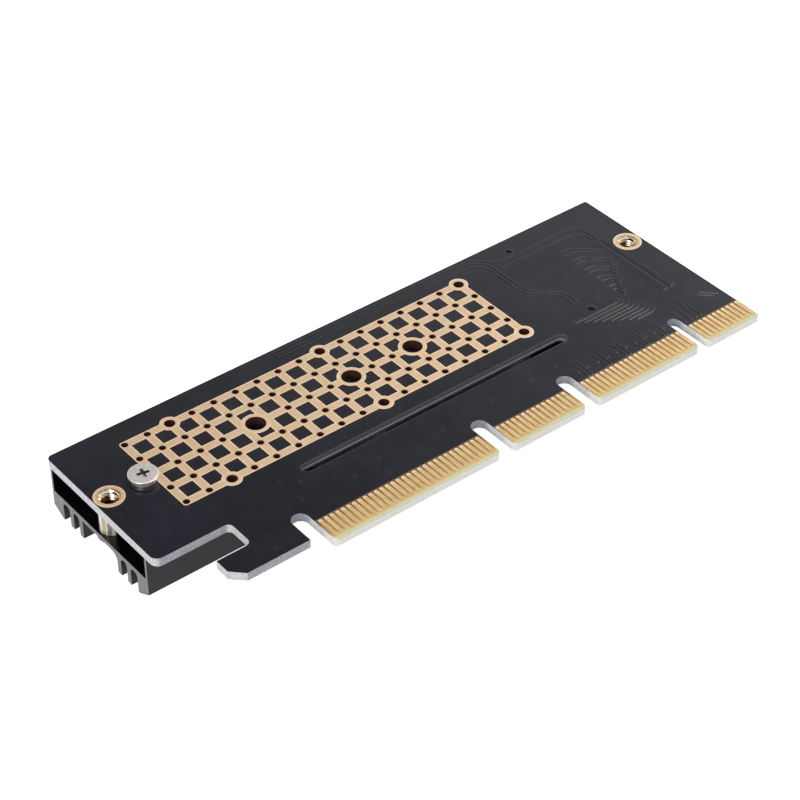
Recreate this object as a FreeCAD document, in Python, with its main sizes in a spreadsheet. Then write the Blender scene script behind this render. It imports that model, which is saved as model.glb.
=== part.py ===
import FreeCAD, Part
import os
import Sketcher

# Drive adapter card: a 16-lane edge card with a socket for a flat drive and a heatsink on its
# component side. It stands on the heatsink's fins, solder side up. +X runs along the card
# towards contact 1, +Z is up, and the origin is under the middle of the card at the fin tips.

doc = FreeCAD.newDocument("adapter_card")
sizes = doc.addObject("Spreadsheet::Sheet", "sizes")

# Driving dimensions in millimetres. "end" is the short edge beside contact 1.
dimensions = {
    # board outline
    "board_width": 40.7,          # far edge to the edge of the contacts
    "board_thick": 1.45,
    "body_width": 28.4,           # far edge to the near edge at the hook end
    "corner_round": 1.3,          # corner at the hook end, beside the notch
    "far_round": 0.9,             # corner at the hook end, on the far edge
    "end_round": 0.4,             # both corners at the end
    "mouth_round": 0.75,          # corners where the edge slots open
    "notch_width": 5.3,           # between the body and the retention hook
    "notch_round": 0.9,
    "hook_length": 14.2,          # middle of the hook slot to the hook's tip
    "hook_arm": 6.0,              # tip to the inner corner of the notch
    "hook_height": 4.65,
    "hook_bevel": 1.95,
    # edge contacts
    "contact_pitch": 1.0,
    "contact_width": 0.7,
    "contact_length": 4.1,
    "contact_setback": 0.8,       # bare band between the contacts and the edge
    "copper_thick": 0.06,
    "contact_to_end": 0.5,        # middle of contact 1 to the end
    "key_gap": 1.5,               # middle of the key slot to the contacts beside it
    "key_width": 2.1,
    "lane_slot_width": 2.75,
    "hook_slot_gap": 2.1,         # last contact to the middle of the hook slot
    "lane_slot_shift": 0.18,      # middle of a lane slot to the left-out contact, from the end
    "slot_depth": 7.9,            # all edge slots, to the end of their round
    "bevel_length": 0.15,         # lead-in on the edge of the contacts
    "bevel_depth": 0.15,
    # drive bay
    "drive_line": 12.9,           # far edge to the drive's centre line
    "stop_to_end": 18.0,          # where a drive's end stops in the socket, to the end
    "drive_length": 80.0,
    "second_length": 60.0,
    "third_length": 42.0,
    "short_length": 30.0,
    "standoff_hole": 3.2,
    "standoff_land": 4.5,
    "first_land": 3.8,            # at the full drive length, hidden by the screw's waist
    # copper lattice on the solder side
    "lattice_gap": 2.0,           # drive standoff to the first column of vias
    "lattice_pitch": 4.0,
    "lattice_window": 2.6,
    "lattice_border": 0.7,
    "lattice_corner": 0.5,
    "via_hole": 1.1,
    "lug_hole": 1.75,
    "lug_land": 3.1,
    # routed slot between the drive bay and the contacts
    "vent_length": 51.4,
    "vent_width": 2.0,
    "vent_offset": 0.05,          # heatsink's side to the middle of the slot
    # heatsink
    "sink_offset": 0.15,          # drive's centre line to the heatsink's and its posts'
    "sink_inset": 0.2,            # each end of the heatsink, in from the board's end
    "socket_side_gap": 0.55,      # socket's tabs to the heatsink's walls
    "sink_wall": 0.45,
    "base_thick": 0.8,
    "socket_gap": 1.25,           # socket to the heatsink's base
    "fin_height": 3.4,
    "fin_thick": 0.95,
    "fin_pitch": 2.52,
    "side_fin_thick": 2.75,
    "side_bevel_width": 2.4,
    "side_bevel_height": 1.3,
    "root_round": 1.4,
    "slot_round": 0.7,            # between the fins at either side
    # posts and screws that hold the heatsink
    "post_gap": 6.02,             # drive standoff to the post at the hook end
    "post_from_hook_end": 2.48,
    "post_from_end": 2.55,
    "post_land": 4.7,
    "post_hole": 3.5,
    "post_body": 3.7,
    "post_fit": 0.05,             # play of a post or standoff in its hole, all round
    "post_thread": 2.5,
    "post_countersink": 0.35,     # widening and depth of the bore's mouth
    "thread_fit": 0.05,           # play of a screw in its thread, all round
    "post_screw_head": 4.6,
    "post_screw_head_height": 0.6,
    "post_screw_reach": 3.6,      # into the post
    "post_screw_hole": 3.2,
    # drive standoff and its screws
    "standoff_body": 5.0,
    "standoff_height": 1.45,
    "standoff_thread": 1.6,
    "standoff_screw_head": 4.65,
    "standoff_screw_waist": 3.9,
    "standoff_screw_rim": 0.4,
    "standoff_screw_height": 1.1,
    "standoff_screw_reach": 1.3,
    "drive_screw_head": 4.5,
    "drive_screw_head_height": 0.7,
    "drive_screw_reach": 1.3,
    "cross_length": 2.0,          # cross recess in each screw
    "cross_width": 0.45,
    "cross_depth": 0.45,
    # socket for the drive
    "socket_width": 21.9,
    "socket_height": 3.2,
    "socket_mouth": 4.0,          # stop to the face where the drive goes in
    "socket_back": 2.8,           # stop to the back of the socket
    "socket_end_wall": 0.85,      # beyond each end of the slot
    "socket_slot_height": 1.35,
    "socket_slot_floor": 1.15,    # board to the slot
    "socket_key_width": 1.1,
    "socket_key_offset": 6.125,   # drive's centre line to the key rib
    "pin_pitch": 0.5,
    "pin_width": 0.2,
    "pin_thick": 0.14,
    "pin_foot": 1.0,
    "peg_setback": 1.6,           # stop to the locating pegs
    "peg_inset": 0.95,            # socket's end to the middle of each peg
    "peg_size": 1.4,
    "peg_length": 1.1,
    "small_peg_size": 1.1,
    "peg_fit": 0.1,
    "tab_length": 3.0,
    "tab_reach": 0.6,
    "tab_thick": 0.2,
    "tab_height": 1.6,
    # thermal pad on the heatsink's base
    "pad_width": 20.0,
    "pad_thick": 0.8,
    "pad_gap": 5.0,               # drive standoff to the pad
    "pad_socket_gap": 9.0,        # pad to the socket's mouth
    # small parts on the component side
    "coupling_length": 1.0,
    "coupling_width": 0.5,
    "coupling_height": 0.5,
    "coupling_pitch": 1.6,
    "chip_gap": 0.35,             # routed slot to the row of small parts
    "bulk_length": 3.2,
    "bulk_width": 1.6,
    "bulk_height": 1.6,
    "bulk_pitch": 2.8,
    "resistor_pitch": 1.5,
    "resistor_height": 0.35,
    "chip_cap": 0.25,             # metal end of each small part
}
for row, (alias, value) in enumerate(dimensions.items(), start=1):
    sizes.set(f"A{row}", str(value))
    sizes.setAlias(f"A{row}", alias)
doc.recompute()

# Contacts 1 to 11 lie before the key slot and 12 to 82 after it. Two more slots let the card
# stand in shorter sockets, and each takes away three contacts.
countBeforeKey = 11
contactCount = 82
laneSlotNumbers = (34, 51)        # number of the contact left out in the middle of each slot
firstCoupledNumber = 14           # contact beside the first coupling capacitor

# Places and sizes shared by several pieces, as expressions on the sheet.
# The card is as long as its drive bay needs, or as its row of contacts and hook need.
bayReach = ("(sizes.stop_to_end + sizes.drive_length + sizes.post_gap"
            " + sizes.post_from_hook_end)")
hookReach = (f"(sizes.contact_to_end + {contactCount - 2} * sizes.contact_pitch"
             " + 2 * sizes.key_gap + sizes.hook_slot_gap + sizes.hook_length)")
boardLength = f"max({bayReach}; {hookReach})"
bayHeight = "(sizes.socket_height + sizes.socket_gap)"
sinkHalf = ("(sizes.socket_width / 2 + sizes.tab_reach + sizes.socket_side_gap"
            " + sizes.sink_wall)")
end = f"({boardLength} / 2)"
hookEnd = f"(-{boardLength} / 2)"
farEdge = "(sizes.board_width / 2)"
contactEdge = "(-sizes.board_width / 2)"
baseUnder = "sizes.fin_height"
baseTop = "(sizes.fin_height + sizes.base_thick)"
boardUnder = f"({baseTop} + {bayHeight})"
boardTop = f"({boardUnder} + sizes.board_thick)"
driveLine = f"({farEdge} - sizes.drive_line)"
sinkLine = f"({driveLine} - sizes.sink_offset)"
stop = f"({end} - sizes.stop_to_end)"
standoffX = f"({stop} - sizes.drive_length)"
hookPostX = f"({hookEnd} + sizes.post_from_hook_end)"
endPostX = f"({end} - sizes.post_from_end)"
ventLine = f"({sinkLine} - {sinkHalf} - sizes.vent_offset)"
chipLine = f"({ventLine} - sizes.vent_width / 2 - sizes.chip_gap - sizes.coupling_length / 2)"

keyX = (f"({end} - sizes.contact_to_end - {countBeforeKey - 1} * sizes.contact_pitch"
        " - sizes.key_gap)")


def value(expression):
    return float(sizes.evalExpression(expression))


def contactX(number):
    if number <= countBeforeKey:
        return f"({keyX} + sizes.key_gap + {countBeforeKey - number} * sizes.contact_pitch)"
    return f"({keyX} - sizes.key_gap - {number - countBeforeKey - 1} * sizes.contact_pitch)"


def contactRuns():
    """first and last number of each run of contacts, from slot to slot"""
    starts = [1, countBeforeKey + 1] + [number + 2 for number in laneSlotNumbers]
    lasts = [countBeforeKey] + [number - 2 for number in laneSlotNumbers] + [contactCount]
    return list(zip(starts, lasts))


hookSlotX = f"({contactX(contactCount)} - sizes.hook_slot_gap)"


def vec(x, y, z):
    return FreeCAD.Vector(value(x), value(y), value(z))


def newBody(name, x="0", y="0", z="0"):
    body = doc.addObject("PartDesign::Body", name)
    for axis, place in (("x", x), ("y", y), ("z", z)):
        body.setExpression(f"Placement.Base.{axis}", place)
    return body


def newSketch(body, name, plane):
    sketch = body.newObject("Sketcher::SketchObject", name)
    planes = [feature for feature in body.Origin.OriginFeatures if feature.Role == plane]
    sketch.AttachmentSupport = (planes[0], "")
    sketch.MapMode = "FlatFace"
    return sketch


def pin(sketch, kind, geometry, point, expression):
    place = value(expression)
    index = sketch.addConstraint(Sketcher.Constraint(kind, -1, 1, geometry, point, place))
    sketch.setExpression(f"Constraints[{index}]", expression)


def outline(sketch, corners):
    """closed run of straight lines through corners, each corner tied to the sheet"""
    first = sketch.GeometryCount
    points = [FreeCAD.Vector(value(x), value(y), 0) for x, y in corners]
    count = len(points)
    for i in range(count):
        sketch.addGeometry(Part.LineSegment(points[i], points[(i + 1) % count]))
    for i in range(count):
        after = first + (i + 1) % count
        sketch.addConstraint(Sketcher.Constraint("Coincident", first + i, 2, after, 1))
    for i, (x, y) in enumerate(corners):
        pin(sketch, "DistanceX", first + i, 1, x)
        pin(sketch, "DistanceY", first + i, 1, y)


def disc(sketch, x, y, diameter):
    centre = FreeCAD.Vector(value(x), value(y), 0)
    circle = Part.Circle(centre, FreeCAD.Vector(0, 0, 1), value(diameter) / 2)
    index = sketch.addGeometry(circle)
    pin(sketch, "DistanceX", index, 3, x)
    pin(sketch, "DistanceY", index, 3, y)
    size = Sketcher.Constraint("Diameter", index, value(diameter))
    sketch.setExpression(f"Constraints[{sketch.addConstraint(size)}]", diameter)


def obround(sketch, x1, y1, x2, y2, width):
    """slot with round ends: two centres and a width"""
    centres = f"sqrt((({x2}) - ({x1}))^2 + (({y2}) - ({y1}))^2)"
    length = value(centres)
    ux = (value(x2) - value(x1)) / length
    uy = (value(y2) - value(y1)) / length
    half = value(width) / 2
    a = FreeCAD.Vector(value(x1), value(y1), 0)
    b = FreeCAD.Vector(value(x2), value(y2), 0)
    side = FreeCAD.Vector(-uy, ux, 0) * half
    back = FreeCAD.Vector(-ux, -uy, 0) * half
    first = sketch.GeometryCount
    sketch.addGeometry(Part.LineSegment(a + side, b + side))
    sketch.addGeometry(Part.Arc(b + side, b - back, b - side))
    sketch.addGeometry(Part.LineSegment(b - side, a - side))
    sketch.addGeometry(Part.Arc(a - side, a + back, a + side))
    upper, farArc, lower, nearArc = range(first, first + 4)
    joins = ((upper, 2, farArc, 2), (farArc, 1, lower, 1), (lower, 2, nearArc, 2),
             (nearArc, 1, upper, 1))
    for geometry, point, other, otherPoint in joins:
        sketch.addConstraint(
            Sketcher.Constraint("Tangent", geometry, point, other, otherPoint))
    for arc, x, y in ((nearArc, x1, y1), (farArc, x2, y2)):
        pin(sketch, "DistanceX", arc, 3, x)
        pin(sketch, "DistanceY", arc, 3, y)
    size = Sketcher.Constraint("Radius", farArc, half)
    sketch.setExpression(f"Constraints[{sketch.addConstraint(size)}]", f"({width}) / 2")


def pad(body, sketch, length, name="pad"):
    feature = body.newObject("PartDesign::Pad", name)
    feature.Profile = sketch
    feature.setExpression("Length", length)
    doc.recompute()
    return feature


def pocket(body, sketch, length=None, both=False, upward=True, name="pocket"):
    """cut along the sketch's normal, or through everything when no length is given"""
    before = body.Shape.Volume
    feature = body.newObject("PartDesign::Pocket", name)
    feature.Profile = sketch
    feature.Reversed = upward
    if both:
        feature.SideType = "Symmetric"
    if length is None:
        feature.Type = "ThroughAll"
    else:
        feature.setExpression("Length", length)
    doc.recompute()
    if body.Shape.Volume >= before - 1e-6:
        raise RuntimeError(f"{body.Label}: {feature.Name} cuts nothing")
    return feature


def edgesAt(shape, x, y):
    """names of the upright edges through a place seen from above"""
    names = []
    for number, edge in enumerate(shape.Edges, start=1):
        box = edge.BoundBox
        upright = box.ZLength > 1e-3 and box.XLength < 1e-6 and box.YLength < 1e-6
        if upright and abs(box.XMin - value(x)) < 1e-4 and abs(box.YMin - value(y)) < 1e-4:
            names.append(f"Edge{number}")
    return names


def roundCorners(body, corners, radius, name="round"):
    base = body.Tip
    names = []
    for x, y in corners:
        names += edgesAt(base.Shape, x, y)
    feature = body.newObject("PartDesign::Fillet", name)
    feature.Base = (base, names)
    feature.setExpression("Radius", radius)
    doc.recompute()
    return feature


def roundAlong(body, chosen, radius, name):
    """rounds the edges along X whose (y, z) place in the body is chosen"""
    base = body.Tip
    names = []
    for number, edge in enumerate(base.Shape.Edges, start=1):
        box = edge.BoundBox
        along = box.XLength > 1e-3 and box.YLength < 1e-6 and box.ZLength < 1e-6
        if along and chosen(box.YMin, box.ZMin):
            names.append(f"Edge{number}")
    feature = body.newObject("PartDesign::Fillet", name)
    feature.Base = (base, names)
    feature.setExpression("Radius", radius)
    doc.recompute()
    return feature


def turned(name, x, y, z, profile):
    """piece turned about an upright axis, from corners of (radius, height)"""
    body = newBody(name, x, y, z)
    sketch = newSketch(body, name + "_profile", "XZ_Plane")
    outline(sketch, profile)
    revolution = body.newObject("PartDesign::Revolution", name + "_turn")
    revolution.Profile = sketch
    revolution.ReferenceAxis = (sketch, ["V_Axis"])
    revolution.Angle = 360
    doc.recompute()
    return body


def crossRecess(body, height, upward, turn="0"):
    """cross recess in a screw's head, cut from the given height into the head"""
    sketch = newSketch(body, body.Name + "_cross", "XY_Plane")
    sketch.setExpression("AttachmentOffset.Base.z", height)
    sketch.AttachmentOffset = FreeCAD.Placement(
        FreeCAD.Vector(0, 0, value(height)), FreeCAD.Rotation(FreeCAD.Vector(0, 0, 1), float(turn)))
    long, thin = "sizes.cross_length / 2", "sizes.cross_width / 2"
    outline(sketch, [
        (long, thin), (thin, thin), (thin, long), (f"-{thin}", long), (f"-{thin}", thin),
        (f"-{long}", thin), (f"-{long}", f"-{thin}"), (f"-{thin}", f"-{thin}"),
        (f"-{thin}", f"-{long}"), (thin, f"-{long}"), (thin, f"-{thin}"), (long, f"-{thin}")])
    return pocket(body, sketch, "sizes.cross_depth", upward=upward, name=body.Name + "_recess")


def plain(name, shape, x="0", y="0", z="0"):
    """a Part::Feature whose sizes were read from the sheet"""
    feature = doc.addObject("Part::Feature", name)
    feature.Shape = shape
    feature.Placement.Base = vec(x, y, z)
    return feature


def boxAt(x1, x2, y1, y2, z1, z2):
    return Part.makeBox(x2 - x1, y2 - y1, z2 - z1, FreeCAD.Vector(x1, y1, z1))


def rodAt(x, y, z, diameter, height):
    return Part.makeCylinder(diameter / 2, height, FreeCAD.Vector(x, y, z))


# ---- circuit board -----------------------------------------------------------------
def makeBoard():
    nearEdge = f"({farEdge} - sizes.body_width)"
    notchY = f"({nearEdge} - sizes.notch_width)"
    hookFoot = f"({notchY} - sizes.hook_height)"
    hookTip = f"({hookSlotX} - sizes.hook_length)"
    notchX = f"({hookTip} + sizes.hook_arm)"
    body = newBody("board_blank", z=boardUnder)
    sketch = newSketch(body, "board_outline", "XY_Plane")
    outline(sketch, [
        (end, farEdge), (hookEnd, farEdge), (hookEnd, nearEdge), (notchX, nearEdge),
        (notchX, notchY), (hookTip, notchY), (hookTip, f"({hookFoot} + sizes.hook_bevel)"),
        (f"({hookTip} + sizes.hook_bevel)", hookFoot), (hookSlotX, hookFoot),
        (hookSlotX, contactEdge), (end, contactEdge)])
    pad(body, sketch, "sizes.board_thick", "board_pad")
    roundCorners(body, [(hookEnd, nearEdge)], "sizes.corner_round", "near_corner")
    roundCorners(body, [(hookEnd, farEdge)], "sizes.far_round", "far_corner")
    roundCorners(body, [(end, farEdge), (end, contactEdge)], "sizes.end_round", "end_corners")
    roundCorners(body, [(notchX, nearEdge), (notchX, notchY)], "sizes.notch_round", "notch_corners")

    slots = newSketch(body, "edge_slots", "XY_Plane")
    places = [(hookSlotX, "sizes.lane_slot_width"), (keyX, "sizes.key_width")]
    places += [(f"({contactX(number)} + sizes.lane_slot_shift)", "sizes.lane_slot_width")
               for number in laneSlotNumbers]
    for x, width in places:
        inner = f"({contactEdge} + sizes.slot_depth - ({width}) / 2)"
        obround(slots, x, f"({contactEdge} - ({width}))", x, inner, width)
    pocket(body, slots, upward=True, name="edge_slot_cut")
    mouths = [(f"({hookSlotX} + sizes.lane_slot_width / 2)", contactEdge)]
    mouths += [(f"({x} {side} ({width}) / 2)", contactEdge)
               for x, width in places[1:] for side in "-+"]
    roundCorners(body, mouths, "sizes.mouth_round", "mouth_corners")

    holes = newSketch(body, "round_holes", "XY_Plane")
    for length in ("drive_length", "second_length", "third_length", "short_length"):
        disc(holes, f"({stop} - sizes.{length})", driveLine, "sizes.standoff_hole")
    for x in (hookPostX, endPostX):
        disc(holes, x, sinkLine, "sizes.post_hole")
    pegX = f"({stop} - sizes.peg_setback)"
    pegSpread = "(sizes.socket_width / 2 - sizes.peg_inset)"
    disc(holes, pegX, f"({driveLine} - {pegSpread})", "sizes.peg_size + 2 * sizes.peg_fit")
    disc(holes, pegX, f"({driveLine} + {pegSpread})", "sizes.small_peg_size + 2 * sizes.peg_fit")
    ventEnd = "((sizes.vent_length - sizes.vent_width) / 2)"
    obround(holes, f"-{ventEnd}", ventLine, ventEnd, ventLine, "sizes.vent_width")
    pocket(body, holes, upward=True, name="hole_cut")

    lead = newSketch(body, "lead_in", "YZ_Plane")
    inner = f"({contactEdge} + sizes.bevel_length)"
    outline(lead, [(contactEdge, "0"), (inner, "0"), (contactEdge, "sizes.bevel_depth")])
    raised = "(sizes.board_thick - sizes.bevel_depth)"
    outline(lead, [(contactEdge, "sizes.board_thick"), (contactEdge, raised),
                   (inner, "sizes.board_thick")])
    pocket(body, lead, f"2 * {boardLength}", both=True, name="lead_in_cut")
    return body


def lugColumns():
    """columns of the lattice that carry a ringed lug: the third, the middle and the last"""
    return (2, 9, 16)


def latticePlaces():
    """place of each via in the lattice, with its column and row"""
    firstX = value(f"{standoffX} + sizes.lattice_gap")
    middleY = value(driveLine)
    pitch = value("sizes.lattice_pitch")
    for column in range(17):
        for row in range(5):
            yield column, row, firstX + column * pitch, middleY + (2 - row) * pitch


def isLug(column, row):
    return column in lugColumns() and row in (0, 4)


def viaTools(z, height):
    """one rod for each via, apart from those that a standoff's land would cut"""
    rods = []
    reach = value("(sizes.standoff_land + sizes.via_hole) / 2")
    lands = [value(f"{stop} - sizes.{name}") for name in
             ("drive_length", "second_length", "third_length", "short_length")]
    for column, row, x, y in latticePlaces():
        hidden = row == 2 and any(abs(x - land) < reach for land in lands)
        if hidden:
            continue
        size = value("sizes.lug_hole") if isLug(column, row) else value("sizes.via_hole")
        rods.append(rodAt(x, y, z, size, height))
    return rods


# ---- copper --------------------------------------------------------------------------
def makeLattice():
    pitch = value("sizes.lattice_pitch")
    border = value("sizes.lattice_border")
    thick = value("sizes.copper_thick")
    firstX = value(f"{standoffX} + sizes.lattice_gap")
    middleY = value(driveLine)
    sheet = boxAt(firstX - border, firstX + 16 * pitch + border,
                  middleY - 2 * pitch - border, middleY + 2 * pitch + border, 0, thick)
    corners = [edge for edge in sheet.Edges if edge.BoundBox.ZLength > thick / 2]
    sheet = sheet.makeFillet(value("sizes.lattice_corner"), corners)
    half = value("sizes.lattice_window") / 2
    windows = []
    for column in range(16):
        for row in range(4):
            x = firstX + (column + 0.5) * pitch
            y = middleY + (1.5 - row) * pitch
            windows.append(boxAt(x - half, x + half, y - half, y + half, 0, thick))
    sheet = sheet.cut(Part.makeCompound(windows))
    lands = [rodAt(value(standoffX), middleY, 0, value("sizes.first_land"), thick)]
    lands += [rodAt(value(f"{stop} - sizes.{name}"), middleY, 0, value("sizes.standoff_land"),
                    thick) for name in ("second_length", "third_length", "short_length")]
    lands += [rodAt(x, y, 0, value("sizes.lug_land"), thick)
              for column, row, x, y in latticePlaces() if isLug(column, row)]
    sheet = sheet.fuse(lands).removeSplitter()
    holes = [rodAt(value(f"{stop} - sizes.{name}"), middleY, 0, value("sizes.standoff_hole"), thick)
             for name in ("drive_length", "second_length", "third_length", "short_length")]
    sheet = sheet.cut(Part.makeCompound(holes + viaTools(0, thick)))
    return plain("cooling_lattice", sheet, z=boardTop)


def makeRing(name, x, z):
    """copper ring round a post, trimmed where it meets the edge of the board"""
    thick = value("sizes.copper_thick")
    centre = value(x)
    middleY = value(sinkLine)
    ring = rodAt(centre, middleY, 0, value("sizes.post_land"), thick)
    ring = ring.cut(rodAt(centre, middleY, 0, value("sizes.post_hole"), thick))
    half = value(end)
    width = value("sizes.board_width")
    ring = ring.common(boxAt(-half, half, -width, width, 0, thick))
    return plain(name, ring, z=z)


def makeContacts(name, first, last, z):
    """run of contacts, each with a round inner tip"""
    thick = value("sizes.copper_thick")
    half = value("sizes.contact_width") / 2
    outer = value(f"{contactEdge} + sizes.contact_setback")
    inner = outer + value("sizes.contact_length")
    limit = value(end)
    strips = []
    for number in range(first, last + 1):
        x = value(contactX(number))
        right = min(x + half, limit)
        strip = boxAt(x - half, right, outer, inner - half, 0, thick)
        tip = rodAt(x, inner - half, 0, 2 * half, thick)
        tip = tip.common(boxAt(x - half, right, inner - half, inner, 0, thick))
        strips.append(strip.fuse(tip).removeSplitter())
    return plain(name, Part.makeCompound(strips), z=z)


# ---- heatsink ------------------------------------------------------------------------
def makeHeatsink():
    body = newBody("heatsink", y=sinkLine)
    half = sinkHalf
    wall = f"({half} - sizes.sink_wall)"
    sideIn = f"({half} - sizes.side_fin_thick)"
    bevelIn = f"({half} - sizes.side_bevel_width)"
    body.setExpression("Placement.Base.x", f"{hookEnd} + sizes.sink_inset")

    def fin(middle):
        near, far = f"({middle} - sizes.fin_thick / 2)", f"({middle} + sizes.fin_thick / 2)"
        return [(near, baseUnder), (near, "0"), (far, "0"), (far, baseUnder)]

    corners = [(f"-{half}", boardUnder), (f"-{half}", "sizes.side_bevel_height"),
               (f"-{bevelIn}", "0"), (f"-{sideIn}", "0"), (f"-{sideIn}", baseUnder)]
    for place in range(-3, 4):
        corners += fin(f"({place} * sizes.fin_pitch)")
    corners += [(sideIn, baseUnder), (sideIn, "0"), (bevelIn, "0"),
                (half, "sizes.side_bevel_height"), (half, boardUnder), (wall, boardUnder),
                (wall, baseTop), (f"-{wall}", baseTop), (f"-{wall}", boardUnder)]
    profile = newSketch(body, "sink_profile", "YZ_Plane")
    outline(profile, corners)
    pad(body, profile, f"{boardLength} - 2 * sizes.sink_inset", "extrusion")
    rootZ = value("sizes.fin_height")
    slotStart = value("2 * sizes.fin_pitch")
    roundAlong(body, lambda y, z: abs(z - rootZ) < 1e-4 and abs(y) > slotStart,
               "sizes.slot_round", "slot_fillet")

    # the middle fins are milled away round each screw, out to the end of the heatsink
    cuts = newSketch(body, "screw_pockets", "XY_Plane")
    hookScrew = "(sizes.post_from_hook_end - sizes.sink_inset)"
    endScrew = f"({boardLength} - sizes.sink_inset - sizes.post_from_end)"
    across = "(4 * sizes.fin_pitch - sizes.fin_thick)"
    for near, far in ((f"-{across}", hookScrew), (endScrew, f"({endScrew} + {across})")):
        obround(cuts, near, "0", far, "0", across)
    pocket(body, cuts, "sizes.fin_height", upward=True, name="pocket_cut")

    # clearance holes for the two screws
    drills = newSketch(body, "screw_holes", "XY_Plane")
    for x in (hookScrew, endScrew):
        disc(drills, x, "0", "sizes.post_screw_hole")
    pocket(body, drills, upward=True, name="screw_hole_cut")

    # fillet between the base and the fin beside each pocket, on the side of the contacts
    rootY = value("-2 * sizes.fin_pitch + sizes.fin_thick / 2")
    between = "(sizes.fin_pitch - sizes.fin_thick)"
    roundAlong(body, lambda y, z: abs(y - rootY) < 1e-4 and abs(z - rootZ) < 1e-4,
               f"min(sizes.root_round; 0.95 * {between})", "root_fillet")
    return body


def makePost(name, x):
    """threaded post: body between heatsink and board, shank up through the board"""
    inner = "sizes.post_thread / 2"
    mouth = f"({inner} + sizes.post_countersink)"
    outer = "sizes.post_body / 2"
    shank = "(sizes.post_hole / 2 - sizes.post_fit)"
    tall = f"({bayHeight} + sizes.board_thick)"
    return turned(name, x, sinkLine, baseTop, [
        (inner, "0"), (outer, "0"), (outer, bayHeight), (shank, bayHeight), (shank, tall),
        (mouth, tall), (inner, f"({tall} - sizes.post_countersink)")])


def makePostScrew(name, x):
    """screw up through the heatsink's base into a post, head in the milled pocket"""
    shank = "(sizes.post_thread / 2 - sizes.thread_fit)"
    head = "sizes.post_screw_head / 2"
    dome = f"({head} - sizes.post_screw_head_height / 3)"
    tall = "(sizes.base_thick + sizes.post_screw_reach)"
    low = "-sizes.post_screw_head_height"
    body = turned(name, x, sinkLine, baseUnder, [
        ("0", tall), ("0", low), (dome, low), (head, f"({low} / 2)"), (head, "0"), (shank, "0"),
        (shank, tall)])
    crossRecess(body, low, upward=True)
    return body


# ---- drive standoff and its screws ---------------------------------------------------
def makeStandoff():
    inner = "sizes.standoff_thread / 2"
    outer = "sizes.standoff_body / 2"
    shank = "(sizes.standoff_hole / 2 - sizes.post_fit)"
    tall = "(sizes.standoff_height + sizes.board_thick)"
    foot = f"({boardUnder} - sizes.standoff_height)"
    return turned("drive_standoff", standoffX, driveLine, foot, [
        (inner, "0"), (outer, "0"), (outer, "sizes.standoff_height"),
        (shank, "sizes.standoff_height"), (shank, tall), (inner, tall)])


def makeStandoffScrew():
    """flat silver screw on the solder side, with a thin rim over a narrower waist"""
    shank = "(sizes.standoff_thread / 2 - sizes.thread_fit)"
    head = "sizes.standoff_screw_head / 2"
    waist = "sizes.standoff_screw_waist / 2"
    top = "sizes.standoff_screw_height"
    under = f"({top} - sizes.standoff_screw_rim)"
    body = turned("standoff_screw", standoffX, driveLine, f"({boardTop} + sizes.copper_thick)", [
        ("0", "-sizes.standoff_screw_reach"), (shank, "-sizes.standoff_screw_reach"),
        (shank, "0"), (waist, "0"), (waist, f"({under} - sizes.standoff_screw_rim / 4)"),
        (head, under), (head, top), ("0", top)])
    crossRecess(body, top, upward=False, turn="-10")
    return body


def makeDriveScrew():
    """screw that holds a drive down, here run home on the bare standoff"""
    shank = "(sizes.standoff_thread / 2 - sizes.thread_fit)"
    head = "sizes.drive_screw_head / 2"
    low = "-sizes.drive_screw_head_height"
    body = turned("drive_screw", standoffX, driveLine, f"({boardUnder} - sizes.standoff_height)", [
        ("0", "sizes.drive_screw_reach"), ("0", low), (head, low), (head, "0"), (shank, "0"),
        (shank, "sizes.drive_screw_reach")])
    crossRecess(body, low, upward=True)
    return body


# ---- drive socket --------------------------------------------------------------------
def socketPins():
    """bent contacts: back row above the slot, front row below it, 8 places left out for the key"""
    pitch = value("sizes.pin_pitch")
    wide = value("sizes.pin_width")
    thick = value("sizes.pin_thick")
    foot = value("sizes.pin_foot")
    mouth = -value("sizes.socket_mouth")
    back = value("sizes.socket_back")
    floor = value("sizes.socket_slot_floor")
    roof = floor + value("sizes.socket_slot_height")
    keyAt = value("sizes.socket_key_offset")

    def bent(path, y):
        wire = Part.makePolygon([FreeCAD.Vector(x, y - wide / 2, -z) for x, z in path + path[:1]])
        return Part.Face(wire).extrude(FreeCAD.Vector(0, wide, 0))

    backRow = [(back + foot, 0), (back + foot, thick), (back - thick, thick),
               (back - thick, roof + thick), (mouth + 2 * thick, roof + thick),
               (mouth + 2 * thick, roof), (back - 2 * thick, roof), (back - 2 * thick, 0)]
    frontRow = [(mouth - foot, 0), (mouth - foot, thick), (mouth + 3 * thick, thick),
                (mouth + 3 * thick, floor), (0, floor), (0, floor - thick),
                (mouth + 4 * thick, floor - thick), (mouth + 4 * thick, 0)]
    pins = []
    for path, count, shift in ((backRow, 38, 0), (frontRow, 37, pitch / 2)):
        first = -18.5 * pitch + shift
        for i in range(count):
            y = first + i * pitch
            if abs(y - keyAt) > 2 * pitch:
                pins.append(bent(path, y))
    return pins


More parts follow.
